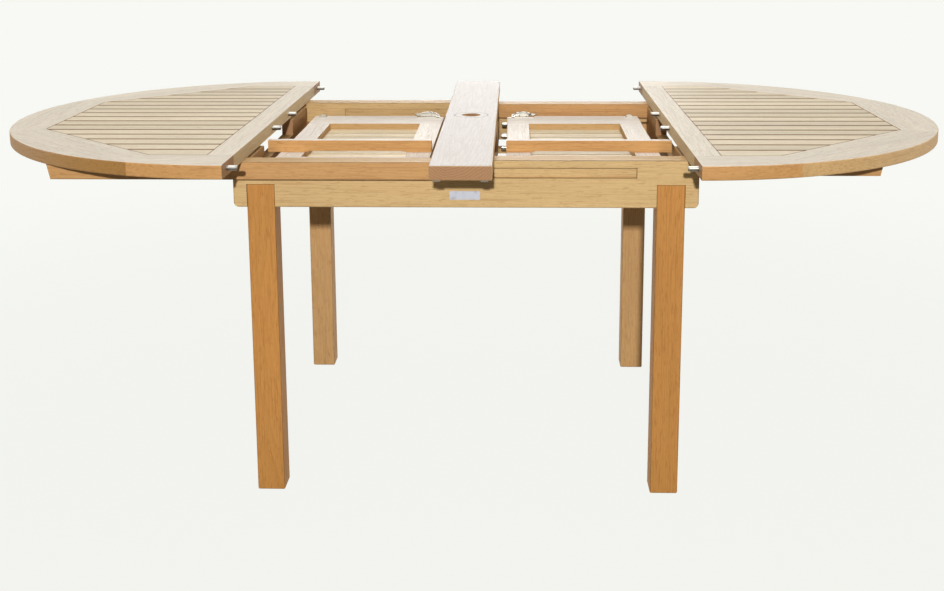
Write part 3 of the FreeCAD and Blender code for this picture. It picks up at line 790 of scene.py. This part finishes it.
@dataclass
class SlatField:
    """A field of slats with even gaps and soft edges, which stands for a node of plain ones."""

    shop: Workshop
    node: str
    side: int
    count: int
    rounding: float
    seed: int
    slant_start: Optional[float] = None
    slant_slope: float = 0.0
    gap: float = 0.005

    def build(self, name: str, body: str, slot: str, finish: TeakFinish) -> None:
        """Make the slats.

        Args:
            name: Name of the piece.
            body: Body that it moves with.
            slot: Material slot of the record.
            finish: Finish of the slats.
        """
        low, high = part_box(self.node)
        half = (high[1] - low[1]) / 2.0
        inner, outer = sorted((abs(low[0]), abs(high[0])))
        values = {
            "Count": self.count,
            "Middle": (low[1] + high[1]) / 2.0,
            "Half Width": half,
            "Gap": self.gap,
            "Inner End": inner,
            "Outer End": outer,
            "Slant Start": half if self.slant_start is None else self.slant_start,
            "Slant Slope": self.slant_slope,
            "Top": high[2],
            "Thickness": high[2] - low[2],
            "Side": float(self.side),
            "Seed": self.seed,
            "Finish": self.shop.material(finish),
        }
        slats = plain_mesh(name, self.shop.slats, values)
        soften(slats, self.rounding)
        self.shop.place(slats, body, slot, self.node)


@dataclass
class Base:
    """Legs, aprons, rails, centre board and fittings, which stand still."""

    shop: Workshop
    board_screw_x: float = 0.024
    board_screw_y: float = 0.050
    # Radius of the painted shadow ring round the parasol ring.
    ring_shadow_radius: float = 0.039
    groove_span: Point = (-0.3405, 0.349)
    groove_heights: Point = (0.685, 0.705)

    def dress(self) -> None:
        """Give every piece of the base its finish."""
        colours, across = self.shop.palette, Grain.ACROSS_TABLE
        # Painted light: the back legs take a paler colour than the front legs.
        for row, tone in (("front", colours.leg_side), ("back", colours.brightened_back_leg_side)):
            for side, shift in (("left", 0.0), ("right", 4.0)):
                node = f"{row}_{side}_leg"
                # Painted shadow lines along the legs' and aprons' box edges and round the groove's mouth.
                edges = (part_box(node),)
                leg = TeakFinish(f"{node}_teak", tone, colours.side, Grain.UPRIGHT, shift=shift, edges=edges)
                self.shop.dress(node, leg)
        for node, shift in (("front_apron", 0.0), ("back_apron", 2.0), ("leaf_bearers", 5.0)):
            edges = (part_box(node),)
            if node == "front_apron":
                edges += (self.groove_mouth(edges[0][0][1]),)
            apron = TeakFinish(f"{node}_teak", colours.apron_side, colours.side, shift=shift, edges=edges)
            self.shop.dress(node, apron)
        # Painted shade: the rails and the board block take the darker shaded colour.
        rail = TeakFinish("rail_teak", colours.shaded_rail_side, colours.side, across)
        for node in ("left_end_rail", "right_end_rail", "centre_rails", "board_block"):
            self.shop.dress(node, rail)
        calm = {"figure_depth": 0.05, "vein_depth": 0.2, "ring_shadow_radius": self.ring_shadow_radius}
        board = TeakFinish("board_teak", colours.side, colours.board_upper, across, **calm)
        for node in ("centre_board", "parasol_ring"):
            self.shop.dress(node, board)
        for node in ("leg_bolts", "board_catches"):
            self.shop.dress(node, "turned_steel")
        self.shop.dress("blank_plate", "satin_plate")

    def groove_mouth(self, face: float) -> Box:
        """Far corners of the guide groove's mouth on the front apron's outside, round which painted shadow
        lines go.
        """
        corners = zip(self.groove_span, self.groove_heights)
        return tuple((along, face, height) for along, height in corners)

    def build(self) -> None:
        """Make the screws that hold the board's block."""
        places = []
        for x in (-self.board_screw_x, self.board_screw_x):
            places += [(x, -self.board_screw_y), (x, self.board_screw_y)]
        ScrewSet(self.shop, "board_screws").build("block_screws", "base", places)


@dataclass
class SideAssembly:
    """What the table has once on its left and once on its right."""

    shop: Workshop
    name: str
    side: int

    def node(self, part: str) -> str:
        """Name of one of its nodes, bodies or pieces."""
        return f"{self.name}_{part}"


@dataclass
class HalfTop(SideAssembly):
    """One half-round slatted top with its runners, battens and pins."""

    rim_joint_radius: float = 0.525
    end_joint_angle: float = 22.3
    side_joint_angle: float = 71.3
    slat_count: int = 17
    slat_round: float = 0.0025
    # Painted shade on the slats: faces that turn only a little from straight up already take the dark side
    # colour, so the rounded edges darken like the gaps.
    slat_gap_shade_ramp: Point = (0.90, 0.995)
    slat_seed: int = 11
    rail_screw_place: float = 0.0255
    rim_screw_places: Point = (0.335, 0.372)
    runner_thickness: float = 0.022

    def dress(self) -> None:
        """Give the rim, rails, runners and pins their finishes."""
        colours, across = self.shop.palette, Grain.ACROSS_TABLE
        upper, pair = colours.upper, Spread.FRONT_AND_BACK
        # Painted light: a darker corner colour on the left and a paler one on the right.
        corner_painted_light = colours.shaded_left_corner_side if self.side < 0 else colours.lit_right_corner_side
        turn = -math.degrees(math.atan2(*self.corner_run())) * self.side
        name = self.node("corner_teak")
        finishes: dict[str, Union[TeakFinish, str]] = {
            "rim_end": TeakFinish(self.node("end_teak"), colours.rim_side, upper, across, shift=self.side),
            "rim_sides": TeakFinish("rim_side_teak", colours.rim_side, upper, spread=pair, tone_range=0.03),
            "rim_corners": TeakFinish(name, corner_painted_light, upper, turn=turn, spread=pair, tone_range=0.04),
            "inner_rail": TeakFinish("inner_rail_teak", colours.rail_side, upper, across, shift=3.0),
            "cross_battens": TeakFinish("batten_teak", colours.side, colours.side, across),
            "pins": "turned_steel",
        }
        for part in ("front_runner", "back_runner"):
            # Painted shadow lines along each runner's box edges.
            name, edges = self.node(part + "_teak"), (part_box(self.node(part)),)
            finishes[part] = TeakFinish(name, colours.runner_side, colours.side, shift=self.side, edges=edges)
        for part, finish in finishes.items():
            self.shop.dress(self.node(part), finish)

    def corner_run(self) -> Point:
        """Run of the rim corner's inner line.

        Returns:
            How far the line goes across the table and how far along it.
        """
        end, side = math.radians(self.end_joint_angle), math.radians(self.side_joint_angle)
        across = self.rim_joint_radius * (math.sin(side) - math.sin(end))
        along = self.rim_joint_radius * (math.cos(end) - math.cos(side))
        return across, along

    def build(self) -> None:
        """Make the slats and the runner screws."""
        colours = self.shop.palette
        looks = {"spread": Spread.BY_BOARD, "upper_light_ramp": self.slat_gap_shade_ramp}
        # Painted shade in the gaps: the slats' sides and rounded edges take the dark side colour.
        finish = TeakFinish("slat_teak", colours.gap_shaded_slat_side, colours.upper_slat, **looks)
        across, along = self.corner_run()
        slats = SlatField(
            self.shop,
            self.node("slats"),
            self.side,
            self.slat_count,
            self.slat_round,
            self.slat_seed + self.side,
            self.rim_joint_radius * math.sin(math.radians(self.end_joint_angle)),
            along / across,
        )
        slats.build(self.node("top_slats"), self.node("top"), "top_teak", finish)
        screws = ScrewSet(self.shop, self.node("runner_screws"))
        screws.build(self.node("lane_screws"), self.node("top"), self.screw_places())

    def screw_places(self) -> list[Point]:
        """Where the screws that hold the runners stand in plan.

        Returns:
            A pair of places for each screw along the runners.
        """
        inner_edge = min(abs(corner[0]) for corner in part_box(self.node("inner_rail")))
        plain_face = max if self.side < 0 else min
        lanes = []
        for part in ("front_runner", "back_runner"):
            face = plain_face((corner[1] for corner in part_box(self.node(part))), key=abs)
            lanes.append(math.copysign(abs(face) + self.side * self.runner_thickness / 2.0, face))
        places = []
        for outward in (self.rail_screw_place, *self.rim_screw_places):
            places += [(self.side * (inner_edge + outward), lane) for lane in lanes]
        return places


@dataclass
class MeshParts:
    """Corners and faces of a piece that is put together from plates and bent wires."""

    corners: list[Vector] = field(default_factory=list)
    faces: list[list[int]] = field(default_factory=list)

    def plate(self, outline: Sequence[Point], across: Point) -> None:
        """Add a plate whose side view is given and which runs straight across.

        Args:
            outline: Side view as lengths and heights, in order.
            across: Where the plate starts and ends across.
        """
        first, count = len(self.corners), len(outline)
        for place in across:
            self.corners += [Vector((x, place, z)) for x, z in outline]
        self.faces += [list(range(first, first + count)), list(range(first + count, first + 2 * count))]
        for number in range(count):
            after = (number + 1) % count
            self.faces.append([first + number, first + after, first + count + after, first + count + number])

    def wire(self, path: Sequence[Vector], radius: float, sides: int = 8) -> None:
        """Add a closed loop of round wire.

        Args:
            path: Middle line of the wire, in order.
            radius: Half the wire's thickness.
            sides: Corners round the wire.
        """
        first, count = len(self.corners), len(path)
        for number, point in enumerate(path):
            run = (path[(number + 1) % count] - path[number - 1]).normalized()
            beside = run.cross(Vector((0.0, 0.0, 1.0))).normalized()
            above = beside.cross(run)
            for step in range(sides):
                angle = math.tau * step / sides
                self.corners.append(point + radius * (math.cos(angle) * beside + math.sin(angle) * above))
        for number in range(count):
            near, far = first + number * sides, first + (number + 1) % count * sides
            for step in range(sides):
                after = (step + 1) % sides
                self.faces.append([near + step, near + after, far + after, far + step])

    def build(self, name: str, material: bpy.types.Material) -> bpy.types.Object:
        """Make the piece.

        Args:
            name: Name of the piece.
            material: Its finish.

        Returns:
            The piece, linked to the scene, with its faces outwards.
        """
        mesh = bpy.data.meshes.new(name)
        mesh.from_pydata(self.corners, [], self.faces)
        mesh.materials.append(material)
        shape = bmesh.new()
        shape.from_mesh(mesh)
        bmesh.ops.recalc_face_normals(shape, faces=shape.faces)
        shape.to_mesh(mesh)
        shape.free()
        piece = bpy.data.objects.new(name, mesh)
        bpy.context.scene.collection.objects.link(piece)
        return piece


@dataclass
class ToggleLatch(SideAssembly):
    """Bright toggle latch on a leaf: base, bowed lever with a wire loop, and the hooked catch."""

    pivot: Point = (0.098, 0.6982)
    seat: float = -0.0062
    barrel_radius: float = 0.003
    lever_bow: tuple[Place, ...] = (
        (0.000, -0.0015, 0.0015),
        (0.008, -0.0034, 0.0032),
        (0.020, -0.0036, 0.0046),
        (0.034, -0.0036, 0.0050),
        (0.046, -0.0030, 0.0042),
        (0.054, -0.0006, 0.0038),
        (0.060, 0.0036, 0.0062),
    )
    loop_reach: Point = (0.002, 0.046)
    loop_rise: float = 0.0066
    loop_bow: float = 0.5
    loop_square: float = 0.6
    wire_radius: float = 0.0016
    loop_steps: int = 24
    side_inset: float = 0.002
    pin_radius: float = 0.0016
    ear_thickness: float = 0.002
    ear_half: float = 0.004
    ear_top: float = 0.003
    ear_slant: float = 0.002
    base_reach: Point = (-0.015, 0.055)
    base_top: float = -0.0046
    catch_depth: float = 0.014
    catch_reach: Point = (0.291, 0.311)
    catch_top: float = -0.0034
    catch_hook: tuple[Point, ...] = (
        (0.3075, -0.0010),
        (0.3035, 0.0014),
        (0.2985, 0.0024),
        (0.2945, 0.0014),
        (0.2925, -0.0008),
        (0.2960, -0.0034),
    )

    def build(self) -> None:
        """Make the lever and the fittings that stay on the leaf."""
        self.build_lever()
        self.build_fittings()

    def build_fittings(self) -> None:
        """Make the base with its ears and pin, and the hooked catch, in place of the plain ones."""
        node = self.node("leaf_fittings")
        low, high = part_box(node)
        near, far = low[1], high[1]
        parts = MeshParts()
        parts.plate(self.plate_outline(self.base_reach, self.base_top), (near, far))
        shoulder = self.ear_half - self.ear_slant
        crown = [(shoulder, self.ear_top), (-shoulder, self.ear_top)]
        ear = self.plate_outline((-self.ear_half, self.ear_half), self.ear_top - self.ear_slant, crown)
        for start in (near, far - self.ear_thickness):
            parts.plate(ear, (start, start + self.ear_thickness))
        parts.plate(self.round_outline(self.pin_radius), (near, far))
        catch = self.plate_outline(self.catch_reach, self.catch_top, self.catch_hook)
        parts.plate(catch, (far - self.catch_depth, far))
        fittings = parts.build(self.node("latch_base"), self.shop.material("bright_plating"))
        self.shop.place(fittings, self.node("leaf_fold"), "bright_metal", node)

    def build_lever(self) -> None:
        """Make the lever with its barrel and wire loop, in place of the plain lever."""
        node = self.node("latch_lever")
        low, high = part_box(node)
        parts = MeshParts()
        parts.plate(self.lever_outline(), (low[1] + self.side_inset, high[1] - self.side_inset))
        parts.plate(self.round_outline(self.barrel_radius), (low[1], high[1]))
        parts.wire(self.loop_path(low[1], high[1]), self.wire_radius)
        lever = parts.build(self.node("toggle"), self.shop.material("latch_plating"))
        self.shop.place(lever, self.node("latch"), "bright_metal", node)

    def at(self, along: float, rise: float) -> Point:
        """Place a point that is counted from the pivot."""
        return self.side * (self.pivot[0] + along), self.pivot[1] + rise

    def lever_outline(self) -> list[Point]:
        """Side view of the bowed lever, along the top and back along the underside."""
        upper = [self.at(along, high) for along, _, high in self.lever_bow]
        return upper + [self.at(along, low) for along, low, _ in reversed(self.lever_bow)]

    def plate_outline(self, reach: Point, top: float, crown: Sequence[Point] = ()) -> list[Point]:
        """Side view of a plate that lies on the leaf.

        Args:
            reach: Where the plate starts and ends, counted from the pivot.
            top: Height of its upper face.
            crown: Points of what stands on it, from its end back to its start.

        Returns:
            Its outline.
        """
        start, end = reach
        profile = [(start, self.seat), (end, self.seat), (end, top), *crown, (start, top)]
        return [self.at(along, rise) for along, rise in profile]

    def round_outline(self, radius: float, sides: int = 16) -> list[Point]:
        """Side view of a round bar on the pivot."""
        turns = [math.tau * step / sides for step in range(sides)]
        return [self.at(radius * math.cos(turn), radius * math.sin(turn)) for turn in turns]

    def loop_path(self, near: float, far: float) -> list[Vector]:
        """Middle line of the wire loop, which rises over the lever.

        Args:
            near: Front side of the lever.
            far: Back side of the lever.

        Returns:
            Points round the loop.
        """
        middle, half = (near + far) / 2.0, (far - near) / 2.0 - self.wire_radius
        start, end = self.loop_reach
        points = []
        for step in range(self.loop_steps):
            turn = math.tau * step / self.loop_steps
            share = (1.0 + math.cos(turn)) / 2.0
            rise = self.loop_rise * math.sin(math.pi * share) ** self.loop_bow
            x, z = self.at(start + (end - start) * share, rise)
            squared = math.copysign(abs(math.sin(turn)) ** self.loop_square, math.sin(turn))
            points.append(Vector((x, middle + half * squared, z)))
        return points


@dataclass
class FoldingLeaf(SideAssembly):
    """One leaf of two hinged panels, stored upside down in its well."""

    slat_count: int = 8
    slat_round: float = 0.0015
    slat_seed: int = 31
    band_inset: float = 0.0005

    def dress(self) -> None:
        """Give the frames, batten and fittings their finishes."""
        colours = self.shop.palette
        for panel in ("lower", "upper"):
            low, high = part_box(self.node(f"{panel}_leaf_slats"))
            band = (low[1] + self.band_inset, high[1] - self.band_inset)
            looks = {"turned_band": band, "shift": self.side, "two_faced": True}
            name = self.node(f"{panel}_frame_teak")
            frame = TeakFinish(name, colours.side, colours.leaf_upper, **looks)
            self.shop.dress(self.node(f"{panel}_leaf_frame"), frame)
            self.shop.dress(self.node(f"{panel}_leaf_pins"), "turned_steel")
            self.shop.dress(self.node(f"{panel}_leaf_hinges"), "bright_plating")
        batten = TeakFinish("leaf_batten_teak", colours.batten_side, colours.leaf_upper)
        self.shop.dress(self.node("leaf_batten"), batten)

    def build(self) -> None:
        """Make the slats of both panels and the toggle latch."""
        ToggleLatch(self.shop, self.name, self.side).build()
        colours = self.shop.palette
        looks = {"spread": Spread.BY_BOARD, "two_faced": True}
        # Painted shade in the gaps: the slats' sides and rounded edges take the dark side colour.
        finish = TeakFinish("leaf_slat_teak", colours.gap_shaded_slat_side, colours.leaf_slat, **looks)
        for number, (panel, body) in enumerate((("lower", "leaf"), ("upper", "leaf_fold"))):
            node, seed = self.node(f"{panel}_leaf_slats"), self.slat_seed + 2 * self.side + number
            slats = SlatField(self.shop, node, self.side, self.slat_count, self.slat_round, seed)
            slats.build(self.node(f"{panel}_boards"), self.node(body), "leaf_teak", finish)


@dataclass
class Studio:
    """Pale floor and backdrop, soft light, and the camera."""

    backdrop: Colour = linear(248, 249, 244)
    shaded_paper: Colour = linear(128, 127, 123)
    floor_half: float = 14.0
    image_width: float = 944.0
    image_height: float = 591.0
    sensor_width: float = 36.0
    focal_pixels: float = 1239.0
    centre_row: float = 150.0
    place: Place = (0.1011, -2.8672, 1.2113)
    pitch: float = 0.1878
    yaw: float = -0.0348
    roll: float = -0.0050
    world_strength: float = 0.07
    key_power: float = 224.0
    key_size: float = 0.12
    key_place: Place = (0.05, -5.2, 2.12)
    overhead_power: float = 200.0
    overhead_size: float = 6.0
    overhead_place: Place = (0.0, 0.6, 6.0)
    fill_power: float = 72.0
    fill_size: float = 2.0
    fill_places: tuple[Place, ...] = ((0.0, 5.0, 1.6), (-5.0, 0.6, 1.3), (5.0, 0.6, 1.3))
    aim: Place = (0.0, 0.0, 0.6)
    shadow_share: float = 0.06
    shadow_reach: Point = (1.2, 3.4)

    def build(self) -> None:
        """Set up the floor, the light and the camera."""
        self.build_floor()
        self.build_light()
        self.build_camera()
        bpy.context.scene.view_settings.view_transform = "Standard"

    def build_floor(self) -> None:
        """Lay the floor, which shows the backdrop's colour and the table's shadow."""
        mesh = bpy.data.meshes.new("floor")
        half = self.floor_half
        corners = [(-half, -half, 0.0), (half, -half, 0.0), (half, half, 0.0), (-half, half, 0.0)]
        mesh.from_pydata(corners, [], [range(len(corners))])
        floor = bpy.data.objects.new("floor", mesh)
        bpy.context.scene.collection.objects.link(floor)
        mesh.materials.append(self.paper())

    def paper(self) -> bpy.types.Material:
        """Paper that takes the table's shadow near it and fades into the backdrop.

        Returns:
            The floor's material.
        """
        material = bpy.data.materials.new("floor_paper")
        sheet = cleared(material)
        place = sheet.add("ShaderNodeTexCoord").outputs["Object"]
        distance = sheet.add("ShaderNodeVectorMath", {0: place}, operation="LENGTH").outputs["Value"]
        far = sheet.ramp(distance, *self.shadow_reach)
        glow_share = sheet.between(far, 1.0 - self.shadow_share, 1.0)
        matt = sheet.out("ShaderNodeBsdfDiffuse", {"Color": padded(self.shaded_paper)})
        glow = sheet.out("ShaderNodeEmission", {"Color": padded(self.backdrop), "Strength": 1.0})
        share = sheet.math("MULTIPLY", self.seen(sheet), glow_share)
        surface = sheet.out("ShaderNodeMixShader", {0: share, 1: matt, 2: glow})
        sheet.add("ShaderNodeOutputMaterial", {"Surface": surface})
        return material

    def seen(self, sheet: NodeSheet) -> Socket:
        """Whether a ray comes from the camera, straight or by way of gloss or glass.

        Args:
            sheet: The node sheet of the floor or the world.

        Returns:
            1 for such a ray and 0 for any other.
        """
        path = sheet.add("ShaderNodeLightPath").outputs
        shown = sheet.math("MAXIMUM", path["Is Camera Ray"], path["Is Glossy Ray"])
        return sheet.math("MAXIMUM", shown, path["Is Transmission Ray"])

    def build_light(self) -> None:
        """Set the soft surrounding light, the key light near the camera and the fill lights."""
        world = bpy.data.worlds.new("studio")
        sheet = cleared(world)
        strength = sheet.between(self.seen(sheet), self.world_strength, 1.0)
        light = sheet.out("ShaderNodeBackground", {"Color": padded(self.backdrop), "Strength": strength})
        sheet.add("ShaderNodeOutputWorld", {"Surface": light})
        bpy.context.scene.world = world
        self.hang_lamp("key", self.key_place, self.key_power, self.key_size)
        self.hang_lamp("overhead", self.overhead_place, self.overhead_power, self.overhead_size)
        for number, place in enumerate(self.fill_places):
            self.hang_lamp(f"fill_{number}", place, self.fill_power, self.fill_size)

    def hang_lamp(self, name: str, place: Place, power: float, size: float) -> None:
        """Hang a square lamp that looks at the table.

        Args:
            name: Name of the lamp.
            place: Where it hangs.
            power: Its power in watts.
            size: Length of its side.
        """
        data = bpy.data.lights.new(name, "AREA")
        data.energy = power
        data.size = size
        lamp = bpy.data.objects.new(name, data)
        lamp.location = place
        lamp.rotation_euler = (Vector(self.aim) - lamp.location).to_track_quat("-Z", "Y").to_euler()
        bpy.context.scene.collection.objects.link(lamp)

    def build_camera(self) -> None:
        """Set the camera at the photograph's viewing angle."""
        level = Vector((math.sin(self.yaw), math.cos(self.yaw), 0.0))
        ahead = math.cos(self.pitch) * level - math.sin(self.pitch) * Vector((0.0, 0.0, 1.0))
        right = Vector((math.cos(self.yaw), -math.sin(self.yaw), 0.0))
        up = right.cross(ahead)
        tilted_right = math.cos(self.roll) * right + math.sin(self.roll) * up
        tilted_up = math.cos(self.roll) * up - math.sin(self.roll) * right
        turn = Matrix((tilted_right, tilted_up, -ahead)).transposed()
        data = bpy.data.cameras.new("camera")
        data.sensor_width = self.sensor_width
        data.lens = self.focal_pixels * self.sensor_width / self.image_width
        data.shift_y = (self.centre_row - self.image_height / 2.0) / self.image_width
        camera = bpy.data.objects.new("camera", data)
        camera.matrix_world = Matrix.Translation(self.place) @ turn.to_4x4()
        bpy.context.scene.collection.objects.link(camera)
        bpy.context.scene.camera = camera


def main() -> None:
    """Load the frame, dress the table and set up the studio."""
    logging.basicConfig(level=logging.INFO, format="%(name)s %(message)s")
    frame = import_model()
    shop = Workshop(frame)
    shop.prepare()
    assemblies: list[Union[Base, HalfTop, FoldingLeaf]] = [Base(shop)]
    for name, side in (("left", -1), ("right", 1)):
        assemblies += [HalfTop(shop, name, side), FoldingLeaf(shop, name, side)]
    for assembly in assemblies:
        assembly.dress()
        assembly.build()
    Studio().build()


if __name__ == "__main__":
    main()
